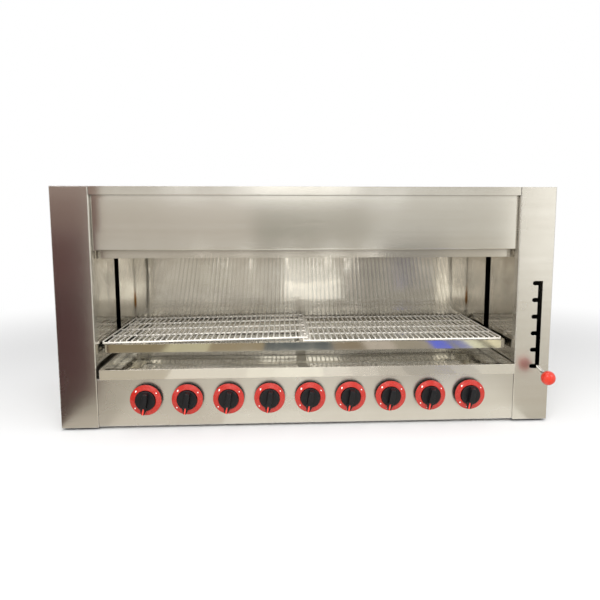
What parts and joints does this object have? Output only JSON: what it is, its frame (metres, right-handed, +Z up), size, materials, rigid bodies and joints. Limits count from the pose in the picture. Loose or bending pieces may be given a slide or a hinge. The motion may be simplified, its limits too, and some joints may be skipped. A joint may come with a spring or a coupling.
{
  "type": "cheese melter",
  "caption": "Bench-top gas cheese melter with hood burners, a comb-slot lift lever for its two wire grates, a drip tray and a row of push-and-turn dials.",
  "frame": {"origin": "on the standing plane, at the centre of the overall footprint between the lever ball in front and the gas inlet behind", "axes": "+Z up, -Y towards the operator at the front, +X to the operator's right where the lift lever is"},
  "size_m": [1.125, 0.525, 0.546],
  "materials": {
    "brushed_casing": "brushed",
    "plain_sheet": "mill",
    "bright_liner": "bright annealed",
    "rack_steel": "satin",
    "grate_wire": "bright",
    "ceramic": "matt ceramic",
    "brass": "turned",
    "pipe_steel": "dull",
    "black_plastic": "satin",
    "red_plastic": "satin",
    "fastener": "zinc",
    "chrome_rod": "polished",
    "lever_chrome": "polished rod with a red ball",
    "rubber": "matt"
  },
  "bodies": {
    "cabinet": {"left_side_casing": "brushed_casing", "right_side_casing": "brushed_casing", "top_cover": "brushed_casing", "hood_fascia": "brushed_casing", "control_panel": "brushed_casing", "back_panel": "plain_sheet", "base_pan": "plain_sheet", "valve_deck": "plain_sheet", "left_cavity_liner": "bright_liner", "right_cavity_liner": "bright_liner", "back_cavity_liner": "bright_liner", "tray_runners": "plain_sheet", "burner_plate": "bright_liner", "burner_plate_cleats": "plain_sheet", "hood_skirt": "bright_liner", "burner_housings": "plain_sheet", "ceramic_tiles": "ceramic", "mixer_throats": "plain_sheet", "gas_jets": "brass", "jet_rail": "plain_sheet", "burner_pipes": "pipe_steel", "gas_manifold": "pipe_steel", "gas_inlet": "pipe_steel", "gas_taps": "brass", "bezel_bases": "black_plastic", "dial_bezels": "red_plastic", "guide_rods": "chrome_rod", "guide_rod_brackets": "plain_sheet", "feet": "rubber", "casing_screws": "fastener"},
    "rack": {"rack_front_rail": "rack_steel", "rack_rear_rail": "rack_steel", "rack_side_rails": "rack_steel", "rack_middle_bar": "rack_steel", "left_lift_carriage": "plain_sheet", "right_lift_carriage": "plain_sheet", "carriage_bolts": "fastener", "lever_pivot_pin": "fastener"},
    "lever": {"lift_lever": "lever_chrome"},
    "tray": {"drip_tray": "bright_liner"},
    "left_grate": {"left_grate": "grate_wire"},
    "right_grate": {"right_grate": "grate_wire"},
    "spindle_1": {"tap_spindle_1": "brass"},
    "knob_1": {"knob_1": "black_plastic"},
    "spindle_2": {"tap_spindle_2": "brass"},
    "knob_2": {"knob_2": "black_plastic"},
    "spindle_3": {"tap_spindle_3": "brass"},
    "knob_3": {"knob_3": "black_plastic"},
    "spindle_4": {"tap_spindle_4": "brass"},
    "knob_4": {"knob_4": "black_plastic"},
    "spindle_5": {"tap_spindle_5": "brass"},
    "knob_5": {"knob_5": "black_plastic"},
    "spindle_6": {"tap_spindle_6": "brass"},
    "knob_6": {"knob_6": "black_plastic"},
    "spindle_7": {"tap_spindle_7": "brass"},
    "knob_7": {"knob_7": "black_plastic"},
    "spindle_8": {"tap_spindle_8": "brass"},
    "knob_8": {"knob_8": "black_plastic"},
    "spindle_9": {"tap_spindle_9": "brass"},
    "knob_9": {"knob_9": "black_plastic"}
  },
  "joints": [
    {"name": "rack_lift", "type": "slide", "parent": "cabinet", "child": "rack", "axis": [0, 0, 1], "range_m": [0, 0.1946]},
    {"name": "lever_swing", "type": "hinge", "parent": "rack", "child": "lever", "pos_m": [0.538, 0.0225, 0.16577], "axis": [0, 0, 1], "range_deg": [-3.81, 0]},
    {"name": "drip_tray_slide", "type": "slide", "parent": "cabinet", "child": "tray", "axis": [0, -1, 0], "range_m": [0, 0.33]},
    {"name": "left_grate_slide", "type": "slide", "parent": "rack", "child": "left_grate", "axis": [0, 1, 0], "range_m": [-0.15, 0]},
    {"name": "right_grate_slide", "type": "slide", "parent": "rack", "child": "right_grate", "axis": [0, 1, 0], "range_m": [-0.15, 0]},
    {"name": "tap_1_turn", "type": "hinge", "parent": "cabinet", "child": "spindle_1", "pos_m": [-0.3682, -0.1805, 0.0716], "axis": [0, 1, 0], "range_deg": [0, 221]},
    {"name": "knob_1_push", "type": "slide", "parent": "spindle_1", "child": "knob_1", "axis": [0, 1, 0], "range_m": [0, 0.004], "stiffness_N_per_m": 600, "springref_m": -0.004},
    {"name": "tap_2_turn", "type": "hinge", "parent": "cabinet", "child": "spindle_2", "pos_m": [-0.2758, -0.1805, 0.0716], "axis": [0, 1, 0], "range_deg": [0, 221]},
    {"name": "knob_2_push", "type": "slide", "parent": "spindle_2", "child": "knob_2", "axis": [0, 1, 0], "range_m": [0, 0.004], "stiffness_N_per_m": 600, "springref_m": -0.004},
    {"name": "tap_3_turn", "type": "hinge", "parent": "cabinet", "child": "spindle_3", "pos_m": [-0.1834, -0.1805, 0.0716], "axis": [0, 1, 0], "range_deg": [0, 221]},
    {"name": "knob_3_push", "type": "slide", "parent": "spindle_3", "child": "knob_3", "axis": [0, 1, 0], "range_m": [0, 0.004], "stiffness_N_per_m": 600, "springref_m": -0.004},
    {"name": "tap_4_turn", "type": "hinge", "parent": "cabinet", "child": "spindle_4", "pos_m": [-0.091, -0.1805, 0.0716], "axis": [0, 1, 0], "range_deg": [0, 221]},
    {"name": "knob_4_push", "type": "slide", "parent": "spindle_4", "child": "knob_4", "axis": [0, 1, 0], "range_m": [0, 0.004], "stiffness_N_per_m": 600, "springref_m": -0.004},
    {"name": "tap_5_turn", "type": "hinge", "parent": "cabinet", "child": "spindle_5", "pos_m": [0.0014, -0.1805, 0.0716], "axis": [0, 1, 0], "range_deg": [0, 221]},
    {"name": "knob_5_push", "type": "slide", "parent": "spindle_5", "child": "knob_5", "axis": [0, 1, 0], "range_m": [0, 0.004], "stiffness_N_per_m": 600, "springref_m": -0.004},
    {"name": "tap_6_turn", "type": "hinge", "parent": "cabinet", "child": "spindle_6", "pos_m": [0.0938, -0.1805, 0.0716], "axis": [0, 1, 0], "range_deg": [0, 221]},
    {"name": "knob_6_push", "type": "slide", "parent": "spindle_6", "child": "knob_6", "axis": [0, 1, 0], "range_m": [0, 0.004], "stiffness_N_per_m": 600, "springref_m": -0.004},
    {"name": "tap_7_turn", "type": "hinge", "parent": "cabinet", "child": "spindle_7", "pos_m": [0.1862, -0.1805, 0.0716], "axis": [0, 1, 0], "range_deg": [0, 221]},
    {"name": "knob_7_push", "type": "slide", "parent": "spindle_7", "child": "knob_7", "axis": [0, 1, 0], "range_m": [0, 0.004], "stiffness_N_per_m": 600, "springref_m": -0.004},
    {"name": "tap_8_turn", "type": "hinge", "parent": "cabinet", "child": "spindle_8", "pos_m": [0.2786, -0.1805, 0.0716], "axis": [0, 1, 0], "range_deg": [0, 221]},
    {"name": "knob_8_push", "type": "slide", "parent": "spindle_8", "child": "knob_8", "axis": [0, 1, 0], "range_m": [0, 0.004], "stiffness_N_per_m": 600, "springref_m": -0.004},
    {"name": "tap_9_turn", "type": "hinge", "parent": "cabinet", "child": "spindle_9", "pos_m": [0.371, -0.1805, 0.0716], "axis": [0, 1, 0], "range_deg": [0, 221]},
    {"name": "knob_9_push", "type": "slide", "parent": "spindle_9", "child": "knob_9", "axis": [0, 1, 0], "range_m": [0, 0.004], "stiffness_N_per_m": 600, "springref_m": -0.004}
  ]
}
